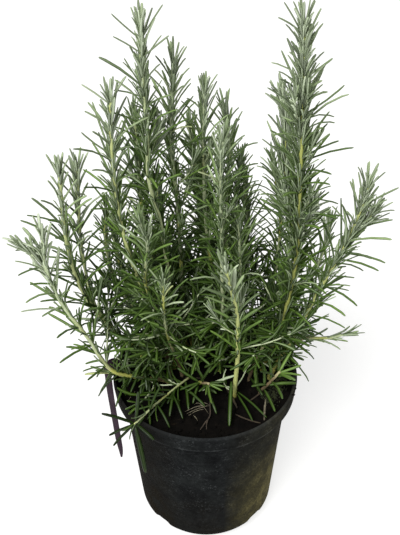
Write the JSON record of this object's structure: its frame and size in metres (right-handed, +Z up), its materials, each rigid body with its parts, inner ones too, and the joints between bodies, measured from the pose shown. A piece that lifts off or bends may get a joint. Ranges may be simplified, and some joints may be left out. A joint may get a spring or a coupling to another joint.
{
  "type": "potted rosemary plant",
  "caption": "Bushy upright rosemary plant with slim needle-like leaves, rooted in soil in a tapered round nursery pot, with a plain plant label folded over the rim.",
  "frame": {"origin": "centre of the pot's flat base, on the surface that the pot stands on", "axes": "+Z up along the pot's axis, -Y towards the front, +X to the right seen from the front; the label hangs on the -X side"},
  "size_m": [0.2796, 0.2008, 0.4637],
  "materials": {
    "pot_plastic": "charcoal moulded polypropylene, dusty and scuffed, with green algae low on one side",
    "potting_soil": "dark crumbly peat compost with fibres and dry leaves",
    "label_plastic": "thin dull purple plastic strip, plain",
    "rosemary": "dark green leathery needles, paler at the tips and silvery below, on pale green stems that turn woody brown"
  },
  "bodies": {
    "root": {"pot": "pot_plastic", "potting_soil": "potting_soil", "plant_label": "label_plastic", "stem_tall_left": "rosemary", "stem_second_left": "rosemary", "stem_left_fork": "rosemary", "stem_low_left": "rosemary", "stem_thin_left": "rosemary", "stem_behind_left": "rosemary", "stem_mid_left": "rosemary", "stem_mid_small": "rosemary", "stem_mid_tall": "rosemary", "stem_mid_right": "rosemary", "stem_front_tall": "rosemary", "stem_back_mid": "rosemary", "stem_short_mid": "rosemary", "stem_front_pale": "rosemary", "stem_front_short": "rosemary", "stem_left_crook": "rosemary", "stem_tall_right": "rosemary", "stem_back_right": "rosemary", "stem_right_arm": "rosemary", "stem_low_right": "rosemary", "stem_far_right": "rosemary", "stem_over_rim": "rosemary", "stem_basal_front": "rosemary", "stem_basal_middle": "rosemary", "stem_basal_left": "rosemary", "stem_basal_right": "rosemary", "stem_rear_1": "rosemary", "stem_rear_2": "rosemary", "stem_rear_3": "rosemary", "stem_rear_4": "rosemary", "stem_rear_5": "rosemary"}
  },
  "joints": []
}
